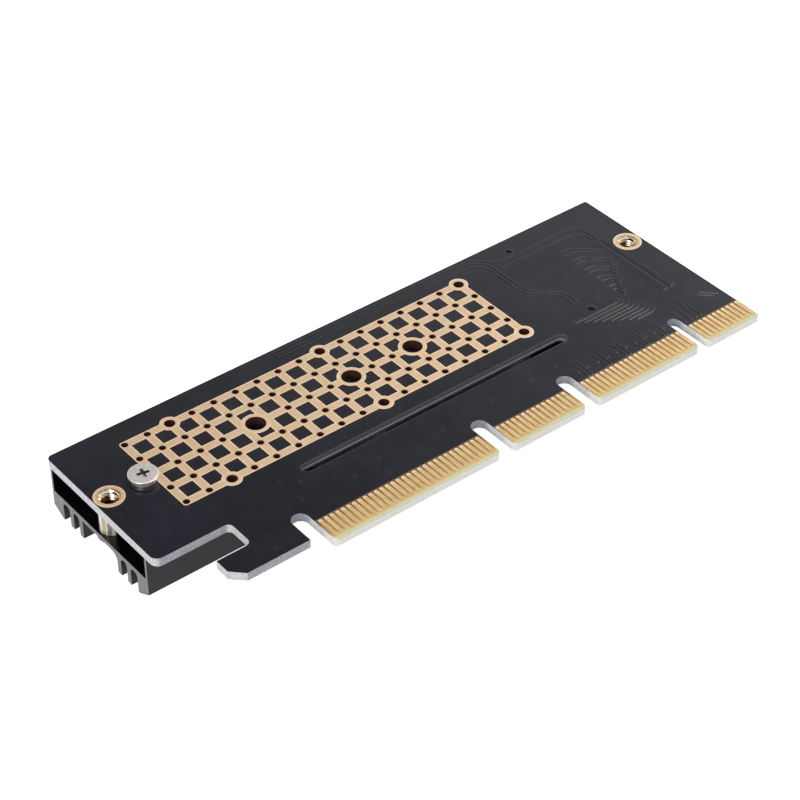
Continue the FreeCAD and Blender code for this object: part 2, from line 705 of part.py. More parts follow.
def makeSocket():
    half = value("sizes.socket_width") / 2
    mouth = -value("sizes.socket_mouth")
    back = value("sizes.socket_back")
    tall = value("sizes.socket_height")
    floor = value("sizes.socket_slot_floor")
    roof = floor + value("sizes.socket_slot_height")
    slotHalf = half - value("sizes.socket_end_wall")
    keyAt = value("sizes.socket_key_offset")
    keyHalf = value("sizes.socket_key_width") / 2
    pins = socketPins()
    block = boxAt(mouth, back, -half, half, -tall, 0)
    corners = [edge for edge in block.Edges if edge.BoundBox.ZLength > tall / 2]
    block = block.makeFillet(value("sizes.pin_pitch"), corners)
    slot = boxAt(mouth, 0, -slotHalf, slotHalf, -roof, -floor)
    rib = boxAt(mouth, 0, keyAt - keyHalf, keyAt + keyHalf, -roof, -floor)
    block = block.cut(slot.cut(rib))
    setback = -value("sizes.peg_setback")
    spread = half - value("sizes.peg_inset")
    long = value("sizes.peg_length")
    pegs = [rodAt(setback, -spread, 0, value("sizes.peg_size"), long),
            rodAt(setback, spread, 0, value("sizes.small_peg_size"), long)]
    block = block.fuse(pegs).removeSplitter().cut(Part.makeCompound(pins))
    housing = plain("socket_housing", block, stop, driveLine, boardUnder)
    contacts = plain("socket_contacts", Part.makeCompound(pins), stop, driveLine, boardUnder)

    # a soldered tab holds the housing down at each end
    long = value("sizes.tab_length")
    thick = value("sizes.tab_thick")
    reach = value("sizes.tab_reach")
    high = value("sizes.tab_height")
    middle = (mouth + back) / 2
    tabs = []
    for side in (-1, 1):
        foot = boxAt(middle - long / 2, middle + long / 2, half, half + reach, -thick, 0)
        flank = boxAt(middle - long / 2, middle + long / 2, half, half + thick, -high, 0)
        tab = foot.fuse(flank).removeSplitter()
        tabs.append(tab if side == 1 else tab.mirror(FreeCAD.Vector(), FreeCAD.Vector(0, 1, 0)))
    holds = plain("socket_hold_downs", Part.makeCompound(tabs), stop, driveLine, boardUnder)
    return [housing, contacts, holds]


def makePad():
    body = newBody("thermal_pad", f"({standoffX} + sizes.pad_gap)", driveLine, baseTop)
    sketch = newSketch(body, "pad_outline", "XY_Plane")
    half = "(sizes.pad_width / 2)"
    long = ("(sizes.drive_length - sizes.pad_gap - sizes.socket_mouth"
            " - sizes.pad_socket_gap)")
    outline(sketch, [("0", f"-{half}"), (long, f"-{half}"), (long, half), ("0", half)])
    pad(body, sketch, "sizes.pad_thick", "pad_sheet")
    return body


# ---- small parts on the component side -----------------------------------------------
def chips(name, places, long, wide, high):
    """row of soldered chips with metal ends, hung under the board"""
    cap = value("sizes.chip_cap")
    skin = value("sizes.copper_thick")
    solids = []
    for x, y in places:
        body = boxAt(x - wide / 2 + skin, x + wide / 2 - skin,
                     y - long / 2 + cap, y + long / 2 - cap, -high + skin, -skin)
        ends = [boxAt(x - wide / 2, x + wide / 2, y - long / 2, y - long / 2 + cap, -high, 0),
                boxAt(x - wide / 2, x + wide / 2, y + long / 2 - cap, y + long / 2, -high, 0)]
        solids.append(body.fuse(ends))
    return plain(name, Part.makeCompound(solids), z=boardUnder)


def makeChips():
    """8 coupling capacitors by the contacts of the first lanes, 3 bulk capacitors, 3 resistors"""
    line = value(chipLine)
    start = value(contactX(firstCoupledNumber))
    step = value("sizes.coupling_pitch")
    coupling = [(start - i * step, line) for i in range(8)]
    small = [value(f"sizes.coupling_{side}") for side in ("length", "width", "height")]
    bulkSizes = [value(f"sizes.bulk_{side}") for side in ("length", "width", "height")]
    bulkStart = value(f"{keyX} + sizes.key_gap")
    bulkStep = value("sizes.bulk_pitch")
    bulk = [(bulkStart + i * bulkStep, line) for i in range(3)]
    resistorStart = coupling[-1][0] - 2 * step
    resistorStep = value("sizes.resistor_pitch")
    resistors = [(resistorStart - i * resistorStep, line) for i in range(3)]
    return [chips("coupling_capacitors", coupling, *small),
            chips("bulk_capacitors", bulk, *bulkSizes),
            chips("resistors", resistors, small[0], small[1], value("sizes.resistor_height"))]


blank = makeBoard()
drills = Part.makeCompound(viaTools(0, value("sizes.board_thick")))
vias = plain("via_drills", drills, z=boardUnder)
board = doc.addObject("Part::Cut", "circuit_board")
board.Base = blank
board.Tool = vias

pieces = [board, makeLattice()]
pieces += [makeRing("hook_end_ring", hookPostX, boardTop), makeRing("end_ring", endPostX, boardTop)]
for first, last in contactRuns():
    span = f"{first}_to_{last}"
    pieces.append(makeContacts(f"solder_side_contacts_{span}", first, last, boardTop))
    pieces.append(makeContacts(f"component_side_contacts_{span}", first, last,
                               f"({boardUnder} - sizes.copper_thick)"))
pieces.append(makeHeatsink())
pieces += [makePost("hook_end_post", hookPostX), makePost("end_post", endPostX)]
pieces += [makePostScrew("hook_end_screw", hookPostX), makePostScrew("end_screw", endPostX)]
pieces += [makeStandoff(), makeStandoffScrew(), makeDriveScrew()]
pieces += makeSocket()
pieces.append(makePad())
pieces += makeChips()
doc.recompute()

for item in doc.Objects:
    if {"Invalid", "Error"} & set(item.State):
        raise RuntimeError(f"{item.Label} did not build: {item.State}")
for piece in pieces:
    if piece.Shape.isNull() or not piece.Shape.isValid():
        raise RuntimeError(f"{piece.Label} is not a valid solid")

os.makedirs("parts", exist_ok=True)
for piece in pieces:
    piece.Shape.exportStep(f"parts/{piece.Label}.step")
    box = piece.Shape.BoundBox
    print(f"{piece.Label:34s} solids {len(piece.Shape.Solids):3d}  volume {piece.Shape.Volume:9.2f}"
          f"  x {box.XMin:7.2f} {box.XMax:7.2f}  y {box.YMin:7.2f} {box.YMax:7.2f}"
          f"  z {box.ZMin:6.2f} {box.ZMax:6.2f}")
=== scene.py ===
import math
import bpy
from mathutils import Matrix, Vector


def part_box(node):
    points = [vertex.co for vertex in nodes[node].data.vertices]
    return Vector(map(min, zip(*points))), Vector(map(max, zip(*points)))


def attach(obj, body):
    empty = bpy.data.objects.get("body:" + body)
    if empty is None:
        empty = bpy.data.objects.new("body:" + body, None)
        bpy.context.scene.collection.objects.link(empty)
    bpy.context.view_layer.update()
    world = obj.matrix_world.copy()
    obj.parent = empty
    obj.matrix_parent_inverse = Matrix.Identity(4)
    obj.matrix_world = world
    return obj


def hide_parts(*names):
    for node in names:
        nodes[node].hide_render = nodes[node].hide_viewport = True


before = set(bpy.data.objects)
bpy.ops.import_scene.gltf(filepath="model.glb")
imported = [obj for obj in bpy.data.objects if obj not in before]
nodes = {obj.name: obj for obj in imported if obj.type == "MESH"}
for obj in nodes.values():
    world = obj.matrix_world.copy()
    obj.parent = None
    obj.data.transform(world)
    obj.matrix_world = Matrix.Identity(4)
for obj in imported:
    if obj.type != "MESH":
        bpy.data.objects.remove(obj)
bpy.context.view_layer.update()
scene = bpy.context.scene
mm = 0.001


def boxInMm(name):
    low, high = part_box(name)
    return low / mm, high / mm


# heights and places that several pieces share, in millimetres
boardLow, boardHigh = boxInMm("circuit_board")
boardTop = boardHigh.z
latticeLow, latticeHigh = boxInMm("cooling_lattice")
copperTop = latticeHigh.z
fingersLow, fingersHigh = boxInMm("solder_side_contacts_53_to_82")
standoffMiddle = sum(boxInMm("drive_standoff"), Vector()) / 2
postMiddles = [sum(boxInMm(name), Vector()) / 2 for name in ("hook_end_post", "end_post")]

# the lattice's first via is the zero of the layout on the solder side
lattice = {
    "fromStandoff": (2.0, 8.0), "pitch": 4.0, "columns": 16, "rows": 4, "halfStrip": 0.7,
    "lug": 1.55, "lugColumns": (2, 9, 16), "land": 2.25, "landsAt": (20, 38, 50), "ring": 2.35,
}
firstVia = Vector((standoffMiddle.x + lattice["fromStandoff"][0],
                   standoffMiddle.y + lattice["fromStandoff"][1], 0))


def tone(red, green, blue):
    # display values from 0 to 255, turned into the linear colour that the shaders take
    def linear(level):
        level = level / 255
        return level / 12.92 if level <= 0.04045 else ((level + 0.055) / 1.055) ** 2.4
    return (linear(red), linear(green), linear(blue), 1)


def feed(tree, socket, source):
    if isinstance(source, bpy.types.NodeSocket):
        tree.links.new(source, socket)
    else:
        socket.default_value = source


def put(tree, kind, inputs=None, **settings):
    made = tree.nodes.new("ShaderNode" + kind)
    for name, setting in settings.items():
        setattr(made, name, setting)
    for name, source in (inputs or {}).items():
        feed(tree, made.inputs[name], source)
    return made


def calc(tree, operation, first, second=0.0):
    return put(tree, "Math", {0: first, 1: second}, operation=operation).outputs[0]


def smallest(tree, *levels):
    least = levels[0]
    for level in levels[1:]:
        least = calc(tree, "MINIMUM", least, level)
    return least


def largest(tree, *levels):
    most = levels[0]
    for level in levels[1:]:
        most = calc(tree, "MAXIMUM", most, level)
    return most


def together(tree, *levels):
    product = levels[0]
    for level in levels[1:]:
        product = calc(tree, "MULTIPLY", product, level)
    return product


def ease(tree, value, low, high):
    # 0 at low, 1 at high, smooth in between
    made = put(tree, "MapRange", {"Value": value, "From Min": low, "From Max": high},
               interpolation_type="SMOOTHSTEP")
    return made.outputs["Result"]


def within(tree, value, low, high):
    return together(tree, calc(tree, "GREATER_THAN", value, low),
                    calc(tree, "LESS_THAN", value, high))


def mixColour(tree, factor, under, over, how="MIX"):
    made = put(tree, "Mix", data_type="RGBA", blend_type=how)
    feed(tree, made.inputs[0], factor)
    feed(tree, made.inputs[6], under)
    feed(tree, made.inputs[7], over)
    return made.outputs[2]


def mixValue(tree, factor, under, over):
    made = put(tree, "Mix", data_type="FLOAT")
    feed(tree, made.inputs[0], factor)
    feed(tree, made.inputs[2], under)
    feed(tree, made.inputs[3], over)
    return made.outputs[0]


def mixVector(tree, factor, under, over):
    made = put(tree, "Mix", data_type="VECTOR")
    feed(tree, made.inputs[0], factor)
    feed(tree, made.inputs[4], under)
    feed(tree, made.inputs[5], over)
    return made.outputs[1]


def dot(tree, first, second):
    return put(tree, "VectorMath", {0: first, 1: second}, operation="DOT_PRODUCT").outputs["Value"]


def lengthOf(tree, place):
    return put(tree, "VectorMath", {0: place}, operation="LENGTH").outputs["Value"]


def inPlan(tree, place):
    # the place seen from above: its X and Y, with Z at 0
    return put(tree, "VectorMath", {0: place, 1: (1, 1, 0)}, operation="MULTIPLY").outputs[0]


def outside(tree, mask):
    return calc(tree, "SUBTRACT", 1.0, mask)


def placeInMm(tree, stretch=(1, 1, 1), origin=(0, 0, 0)):
    # place on the card in millimetres from an origin, with the axes stretched for streaks
    spot = put(tree, "TexCoord").outputs["Object"]
    scaled = put(tree, "VectorMath", {0: spot, 1: [part / mm for part in stretch],
                                      2: [-part for part in origin]}, operation="MULTIPLY_ADD")
    return scaled.outputs[0]


def axes(tree, place):
    return put(tree, "SeparateXYZ", {0: place}).outputs


def noise(tree, place, scale, detail=3, roughness=0.55):
    made = put(tree, "TexNoise", {"Vector": place, "Scale": scale, "Detail": detail,
                                  "Roughness": roughness})
    return made.outputs["Fac"]


def bump(tree, height, depth, strength=1.0, under=None):
    # depth in millimetres
    inputs = {"Height": height, "Distance": depth * mm, "Strength": strength}
    if under is not None:
        inputs["Normal"] = under
    return put(tree, "Bump", inputs).outputs[0]


def roundedEdge(tree, radius):
    return put(tree, "Bevel", {"Radius": radius * mm}, samples=6).outputs[0]


def edgeMask(tree, radius, soft=0.12):
    # 1 along sharp edges, 0 on open faces; radius in millimetres
    flat = put(tree, "NewGeometry").outputs["Normal"]
    return ease(tree, dot(tree, roundedEdge(tree, radius), flat), 0.995, 0.995 - soft)


def facing(tree, axis):
    # how far a face looks along an axis, either way: 0 for X, 1 for Y, 2 for Z
    normal = put(tree, "NewGeometry").outputs["True Normal"]
    return calc(tree, "ABSOLUTE", axes(tree, normal)[axis])


def turnedTo(tree, direction):
    # how far a face looks in a direction, from -1 to 1
    normal = put(tree, "NewGeometry").outputs["True Normal"]
    return dot(tree, normal, direction)


def startFinish(name):
    material = bpy.data.materials.new(name)
    material.use_nodes = True
    return material, material.node_tree, material.node_tree.nodes["Principled BSDF"]


def setSockets(shader, **levels):
    names = {"metallic": "Metallic", "roughness": "Roughness",
             "specular": "Specular IOR Level"}
    for key, level in levels.items():
        shader.inputs[names[key]].default_value = level


def wear(material, *names):
    # gives the named nodes this finish
    for name in names:
        nodes[name].data.materials.clear()
        nodes[name].data.materials.append(material)


def copperEdge(tree):
    # signed distances in millimetres, below 0 on the copper: to the edge of all the copper of
    # the lattice and rings, and to the edge of its round lands and lugs alone
    pitch, half = lattice["pitch"], lattice["halfStrip"]
    place = inPlan(tree, placeInMm(tree, origin=firstVia))
    x, y, _ = axes(tree, place)
    halfLong, halfWide = lattice["columns"] * pitch / 2, lattice["rows"] * pitch / 2

    def fromMiddle(value, middle, reach):
        away = calc(tree, "ABSOLUTE", calc(tree, "SUBTRACT", value, middle))
        return calc(tree, "SUBTRACT", away, reach)

    def disc(centre, radius):
        away = put(tree, "VectorMath", {0: place, 1: centre}, operation="DISTANCE")
        return calc(tree, "SUBTRACT", away.outputs["Value"], radius)

    strips = smallest(tree, calc(tree, "PINGPONG", x, pitch / 2),
                      calc(tree, "PINGPONG", y, pitch / 2))
    strips = calc(tree, "SUBTRACT", strips, half)
    sheet = largest(tree, fromMiddle(x, halfLong, halfLong + half),
                    fromMiddle(y, -halfWide, halfWide + half))
    first, second, last = (column * pitch for column in lattice["lugColumns"])
    folded = put(tree, "CombineXYZ", {
        0: calc(tree, "PINGPONG", calc(tree, "SUBTRACT", x, first), (second - first) / 2),
        1: calc(tree, "PINGPONG", y, halfWide)})
    toLug = lengthOf(tree, folded.outputs[0])
    lugs = largest(tree, calc(tree, "SUBTRACT", toLug, lattice["lug"]),
                   fromMiddle(x, second, last - second + lattice["lug"]),
                   fromMiddle(y, -halfWide, halfWide + lattice["lug"]))
    gap = Vector(lattice["fromStandoff"])
    lands = [disc((across - gap.x, -gap.y, 0), lattice["land"]) for across in lattice["landsAt"]]
    rings = [disc((middle.x - firstVia.x, middle.y - firstVia.y, 0), lattice["ring"])
             for middle in postMiddles]
    rounds = smallest(tree, lugs, *lands)
    return smallest(tree, largest(tree, strips, sheet), rounds, *rings), rounds


maskLook = {
    "black": tone(13, 14, 22), "milky": tone(20, 21, 31), "roughness": 0.2,
    "edge": tone(233, 233, 237), "edgeDark": tone(186, 186, 190),
    "contactEdge": tone(255, 254, 248), "contactEdgeDark": tone(238, 236, 226),
    "bevel": tone(196, 193, 184), "bevelDark": tone(180, 178, 160),
    "nearEdge": tone(186, 187, 194), "nearEdgeDark": tone(140, 141, 148),
    "slotEnd": tone(170, 172, 180), "slotEndDark": tone(104, 106, 112),
    "clearance": tone(46, 26, 16), "hole": tone(74, 34, 24), "holeDark": tone(34, 16, 14),
    "slotWall": tone(86, 88, 92), "slotWallDark": tone(66, 68, 72), "rim": tone(112, 114, 120),
    "slotLine": tone(176, 178, 182),
    "gapDeep": tone(98, 66, 36), "gapMiddle": tone(152, 116, 70), "gapPale": tone(186, 166, 112),
    "band": tone(182, 178, 130),
    # milled slot: from the contacts' edge to its middle, how far its grey walls and rim reach
    # from there, and the depths between which a painted highlight runs along the walls
    "ventFromEdge": 15.05, "ventHalfLength": 27.5, "ventHalfWidth": 1.6, "ventLine": (1.1, 0.82),
    "slotDepth": 7.9,             # edge slots, from the contacts' edge
}


def maskFinish():
    # black solder mask on the flats, bare laminate between the contacts, pale glass fibre where
    # the board is cut, and plated walls in the lattice's holes, darkened with painted shade
    look = maskLook
    material, tree, shader = startFinish("blackMask")
    place = placeInMm(tree)
    x, y, z = axes(tree, place)
    flat = ease(tree, facing(tree, 2), 0.8, 0.95)
    ventMiddle = boardLow.y + look["ventFromEdge"]
    socketLow, socketHigh = boxInMm("socket_housing")
    inVent = together(tree, within(tree, x, -look["ventHalfLength"], look["ventHalfLength"]),
                      within(tree, y, ventMiddle - look["ventHalfWidth"],
                             ventMiddle + look["ventHalfWidth"]))
    byPegs = together(tree, within(tree, x, socketLow.x, socketHigh.x),
                      within(tree, y, socketLow.y, socketHigh.y))
    masked = largest(tree, inVent, byPegs)
    onLattice = together(tree, within(tree, x, boardLow.x + 1, latticeHigh.x + 1),
                         within(tree, y, latticeLow.y - 0.5, latticeHigh.y + 0.5))

    face = mixColour(tree, ease(tree, noise(tree, place, 0.12, 2), 0.35, 0.7),
                     look["black"], look["milky"])
    # a painted highlight as a pale line round the slot and peg holes, and a bare brown
    # line beside the copper
    face = mixColour(tree, together(tree, masked, edgeMask(tree, 0.1)), face, look["rim"])
    copper, _ = copperEdge(tree)
    face = mixColour(tree, ease(tree, copper, 0.3, 0.1), face, look["clearance"])

    # between the contacts: dark brown at the tips, where copper lies behind the laminate and
    # painted shade fills the narrow gaps, and paler towards the edge, painted light glowing
    # through the cut edge; a bare band beyond the contacts
    tips, ends = fingersHigh.y, fingersLow.y
    pastHook = calc(tree, "GREATER_THAN", x, fingersLow.x - 1.2)
    amongContacts = together(tree, ease(tree, y, tips + 0.34, tips + 0.12), pastHook)
    laminate = mixColour(tree, ease(tree, y, tips - 0.5, tips - 2),
                         look["gapDeep"], look["gapMiddle"])
    laminate = mixColour(tree, ease(tree, y, ends + 0.9, ends + 0.1), laminate, look["gapPale"])
    laminate = mixColour(tree, ease(tree, y, ends + 0.1, ends - 0.5), laminate, look["band"])
    face = mixColour(tree, amongContacts, face, laminate)

    # cut edges: fibres run along the board in layers, with resin specks; painted shade makes them
    # darker where they face the near side and towards the closed ends of the slots
    fibres = noise(tree, placeInMm(tree, (1.6, 1.6, 5)), 1.3, 4, 0.7)
    specks = noise(tree, place, 7, 3, 0.7)
    rough = calc(tree, "ADD", calc(tree, "MULTIPLY", fibres, 0.65),
                 calc(tree, "MULTIPLY", specks, 0.35))
    grey = ease(tree, rough, 0.38, 0.56)

    def cutTone(mask, colour, bright, dark):
        return mixColour(tree, mask, colour, mixColour(tree, grey, look[dark], look[bright]))

    cut = mixColour(tree, grey, look["edgeDark"], look["edge"])
    # painted shade on the cut faces turned to the near side
    cut = cutTone(ease(tree, turnedTo(tree, (0, -1, 0)), 0.85, 0.97), cut,
                  "nearEdge", "nearEdgeDark")
    slotEnd = boardLow.y + look["slotDepth"]
    # painted shade deep in the edge slots, towards their closed ends
    deep = together(tree, ease(tree, y, slotEnd - 2.4, slotEnd - 0.6),
                    calc(tree, "LESS_THAN", y, slotEnd + 0.1),
                    calc(tree, "GREATER_THAN", x, fingersLow.x - 4))
    cut = cutTone(deep, cut, "slotEnd", "slotEndDark")
    creamy = together(tree, ease(tree, y, tips - 1.5, tips - 3), pastHook)
    cut = cutTone(creamy, cut, "contactEdge", "contactEdgeDark")
    slanted = together(tree, creamy, ease(tree, facing(tree, 2), 0.1, 0.2))
    cut = cutTone(slanted, cut, "bevel", "bevelDark")
    cut = cutTone(masked, cut, "slotWall", "slotWallDark")
    # a painted highlight along the middle of the slot's walls
    lineLow, lineHigh = (boardTop - depth for depth in look["ventLine"])
    lit = together(tree, inVent, within(tree, z, lineLow, lineHigh))
    cut = mixColour(tree, lit, cut, look["slotLine"])
    # painted shade on the plated walls of the lattice's holes
    cut = cutTone(onLattice, cut, "hole", "holeDark")

    feed(tree, shader.inputs["Base Color"], mixColour(tree, flat, cut, face))
    glossy = mixValue(tree, noise(tree, place, 0.5, 2), look["roughness"] - 0.03,
                      look["roughness"] + 0.04)
    glossy = mixValue(tree, amongContacts, glossy, 0.6)
    feed(tree, shader.inputs["Roughness"], mixValue(tree, flat, 0.65, glossy))
    grain = bump(tree, noise(tree, place, 5, 2), 0.003)
    feed(tree, shader.inputs["Normal"],
         mixVector(tree, flat, bump(tree, rough, 0.1, 0.7), grain))
    return material


latticeLook = {
    "copper": tone(208, 180, 147), "pink": tone(211, 174, 144), "yellow": tone(200, 177, 136),
    "rim": tone(240, 218, 190), "land": tone(214, 185, 151), "roughness": 0.38,
}


def latticeFinish():
    # flash gold over rolled copper, mottled, with paler lands and lugs and a painted highlight
    # along the copper's rims
    look = latticeLook
    material, tree, shader = startFinish("bareCopper")
    place = placeInMm(tree)
    patches = noise(tree, place, 0.55, 3)
    colour = mixColour(tree, ease(tree, patches, 0.35, 0.65), look["yellow"], look["pink"])
    mottle = noise(tree, place, 2.2, 4, 0.65)
    colour = mixColour(tree, ease(tree, mottle, 0.4, 0.65), colour, look["copper"])
    edge, rounds = copperEdge(tree)
    colour = mixColour(tree, ease(tree, rounds, 0.02, -0.1), colour, look["land"])
    # painted highlight along the edges of the copper
    colour = mixColour(tree, ease(tree, edge, -0.2, -0.05), colour, look["rim"])
    feed(tree, shader.inputs["Base Color"], colour)
    setSockets(shader, metallic=0.6)
    feed(tree, shader.inputs["Roughness"],
         mixValue(tree, mottle, look["roughness"] - 0.08, look["roughness"] + 0.1))
    feed(tree, shader.inputs["Normal"], bump(tree, noise(tree, place, 4, 4, 0.7), 0.03, 0.7))
    return material


contactLook = {
    "gold": tone(204, 174, 124), "deep": tone(182, 148, 98), "tip": tone(224, 199, 152),
    "roughness": 0.42,
}


def contactFinish():
    # gold fingers, with a painted highlight at their round tips and fine rubbed lines along them
    look = contactLook
    material, tree, shader = startFinish("contactGold")
    y = axes(tree, placeInMm(tree))[1]
    rubbed = noise(tree, placeInMm(tree, (5, 0.6, 1)), 1.6, 4, 0.65)
    patches = noise(tree, placeInMm(tree, (1, 0.5, 1)), 0.8, 2)
    colour = mixColour(tree, ease(tree, rubbed, 0.35, 0.65), look["deep"], look["gold"])
    colour = mixColour(tree, ease(tree, patches, 0.4, 0.75), colour, look["gold"])
    # painted highlight at the round tips
    colour = mixColour(tree, ease(tree, y, fingersHigh.y - 0.7, fingersHigh.y - 0.1), colour,
                       look["tip"])
    feed(tree, shader.inputs["Base Color"], colour)
    setSockets(shader, metallic=0.6)
    feed(tree, shader.inputs["Roughness"],
         mixValue(tree, rubbed, look["roughness"] - 0.08, look["roughness"] + 0.08))
    feed(tree, shader.inputs["Normal"], bump(tree, rubbed, 0.02, 0.6, roundedEdge(tree, 0.12)))
    return material


sinkLook = {
    "black": tone(13, 13, 18), "dull": tone(21, 21, 27), "inside": tone(12, 12, 14),
    "sawn": tone(145, 145, 147), "sawnDark": tone(114, 114, 118), "rubbed": tone(96, 96, 102),
    "roughness": 0.55,
}


def sinkFinish():
    # satin anodising with faint drawn lines, clean and glossy inside and darkened there with
    # painted shade, paler where the bar was sawn off
    look = sinkLook
    material, tree, shader = startFinish("blackAnodised")
    low, high = boxInMm("heatsink")
    _, y, z = axes(tree, placeInMm(tree))
    drawn = noise(tree, placeInMm(tree, (0.15, 6, 6)), 1.4, 4)
    colour = mixColour(tree, ease(tree, drawn, 0.3, 0.75), look["black"], look["dull"])
    atEnd = ease(tree, facing(tree, 0), 0.9, 0.98)
    fromSide = smallest(tree, calc(tree, "SUBTRACT", y, low.y), calc(tree, "SUBTRACT", high.y, y))
    inside = together(tree, calc(tree, "GREATER_THAN", fromSide, 0.2),
                      calc(tree, "GREATER_THAN", z, boxInMm("hook_end_post")[0].z - 0.05),
                      outside(tree, atEnd))
    # painted shade inside the bay
    colour = mixColour(tree, inside, colour, look["inside"])
    marks = noise(tree, placeInMm(tree, (1, 2.5, 2.5)), 2.2, 4, 0.7)
    sawn = mixColour(tree, ease(tree, marks, 0.38, 0.6), look["sawnDark"], look["sawn"])
    colour = mixColour(tree, atEnd, colour, sawn)
    # paler edges outside the bay: a painted edge highlight
    rim = together(tree, edgeMask(tree, 0.12), outside(tree, inside), 0.4)
    colour = mixColour(tree, rim, colour, look["rubbed"])
    feed(tree, shader.inputs["Base Color"], colour)
    feed(tree, shader.inputs["Metallic"], mixValue(tree, inside, 0.2, 0.0))
    satin = mixValue(tree, drawn, look["roughness"] - 0.06, look["roughness"] + 0.1)
    feed(tree, shader.inputs["Roughness"], mixValue(tree, inside, satin, 0.16))
    feed(tree, shader.inputs["Normal"], bump(tree, drawn, 0.03, 0.5, roundedEdge(tree, 0.1)))
    return material


def turnedMetal(name, colour, dark, roughness, stretch=(1, 1, 12)):
    # bright turned metal with fine tool lines
    material, tree, shader = startFinish(name)
    lines = noise(tree, placeInMm(tree, stretch), 2.4, 4, 0.6)
    stain = noise(tree, placeInMm(tree), 1.3, 2)
    base = mixColour(tree, ease(tree, lines, 0.35, 0.7), dark, colour)
    base = mixColour(tree, ease(tree, stain, 0.45, 0.8), base, colour)
    feed(tree, shader.inputs["Base Color"], base)
    setSockets(shader, metallic=1.0)
    feed(tree, shader.inputs["Roughness"],
         mixValue(tree, lines, roughness - 0.05, roughness + 0.08))
    feed(tree, shader.inputs["Normal"],
         bump(tree, lines, 0.01, 0.4, roundedEdge(tree, 0.06)))
    return material


postLook = {
    "white": tone(236, 232, 224), "olive": tone(186, 174, 126), "shade": tone(142, 134, 126),
    "dark": tone(20, 19, 18),
    "flange": tone(234, 188, 110), "bore": tone(252, 244, 224), "boreBrown": tone(96, 60, 28),
    "roughness": 0.12, "boreRadius": 1.5,
    # upright bands of painted reflection follow one another in this direction,
    # each from its share of the radius
    "across": (0.873, -0.487, 0),
    "stripes": ((-0.78, "olive"), (-0.5, "white"), (-0.4, "shade"), (-0.07, "white"),
                (0.24, "dark")),
}


def postFinish():
    # polished turned brass with upright bands of painted reflection, a duller gold top, and
    # painted shade in brown down one side of the bore and deeper in it
    look = postLook
    material, tree, shader = startFinish("postMetal")
    place = placeInMm(tree)
    x, _, z = axes(tree, place)
    atFirstContact = calc(tree, "GREATER_THAN", x, 0.0)
    middle = mixVector(tree, atFirstContact, postMiddles[0], postMiddles[1])
    away = put(tree, "VectorMath", {0: place, 1: middle}, operation="SUBTRACT").outputs[0]
    away = inPlan(tree, away)
    radius = lengthOf(tree, away)
    around = put(tree, "VectorMath", {0: away}, operation="NORMALIZE").outputs[0]
    side = dot(tree, around, look["across"])
    lines = noise(tree, placeInMm(tree, (0.6, 0.6, 14)), 2.4, 4, 0.6)

    # bands of painted reflection and painted shade round the body
    body = look["white"]
    for start, stripe in look["stripes"]:
        body = mixColour(tree, ease(tree, side, start - 0.03, start + 0.03), body, look[stripe])
    # painted shade: brown down one side of the bore and deeper in it
    brown = together(tree, ease(tree, side, 0.3, -0.05),
                     ease(tree, z, boardTop - 0.35, boardTop - 0.8))
    bore = mixColour(tree, brown, look["bore"], look["boreBrown"])
    body = mixColour(tree, calc(tree, "LESS_THAN", radius, look["boreRadius"]), body, bore)
    onTop = together(tree, ease(tree, facing(tree, 2), 0.9, 0.98),
                     calc(tree, "GREATER_THAN", z, boardTop - 0.05))
    feed(tree, shader.inputs["Base Color"], mixColour(tree, onTop, body, look["flange"]))
    below = together(tree, calc(tree, "GREATER_THAN", radius, look["boreRadius"]),
                     calc(tree, "LESS_THAN", z, boardTop - 0.5))
    feed(tree, shader.inputs["Metallic"], mixValue(tree, below, 1.0, 0.25))
    polished = mixValue(tree, lines, look["roughness"] - 0.04, look["roughness"] + 0.05)
    feed(tree, shader.inputs["Roughness"], mixValue(tree, onTop, polished, 0.4))
    feed(tree, shader.inputs["Normal"], bump(tree, lines, 0.008, 0.4))
    return material


silverLook = {
    "plate": tone(190, 184, 178), "plateDark": tone(160, 152, 146), "side": tone(232, 230, 230),
    "recess": tone(84, 76, 70), "recessReach": 1.15,
}


def silverFinish():
    # nickel plate: satin face with fine concentric tool marks, brighter sides, and painted shade
    # in the cross recess
    look = silverLook
    material, tree, shader = startFinish("silverMetal")
    place = inPlan(tree, placeInMm(tree, origin=standoffMiddle))
    away = lengthOf(tree, place)
    marks = noise(tree, put(tree, "CombineXYZ", {0: away}).outputs[0], 9, 3, 0.6)
    patches = noise(tree, place, 1.4, 3)
    face = mixColour(tree, ease(tree, marks, 0.3, 0.7), look["plateDark"], look["plate"])
    face = mixColour(tree, ease(tree, patches, 0.35, 0.7), face, look["plate"])
    onFace = ease(tree, facing(tree, 2), 0.9, 0.99)
    inRecess = together(tree, calc(tree, "LESS_THAN", away, look["recessReach"]),
                        outside(tree, onFace))
    # painted shade on the walls of the cross recess
    side = mixColour(tree, inRecess, look["side"], look["recess"])
    feed(tree, shader.inputs["Base Color"], mixColour(tree, onFace, side, face))
    feed(tree, shader.inputs["Metallic"], mixValue(tree, onFace, 0.75, 0.5))
    polish = mixValue(tree, inRecess, 0.2, 0.45)
    feed(tree, shader.inputs["Roughness"], mixValue(tree, onFace, polish, 0.45))
    feed(tree, shader.inputs["Normal"], bump(tree, marks, 0.01, 0.5))
    return material


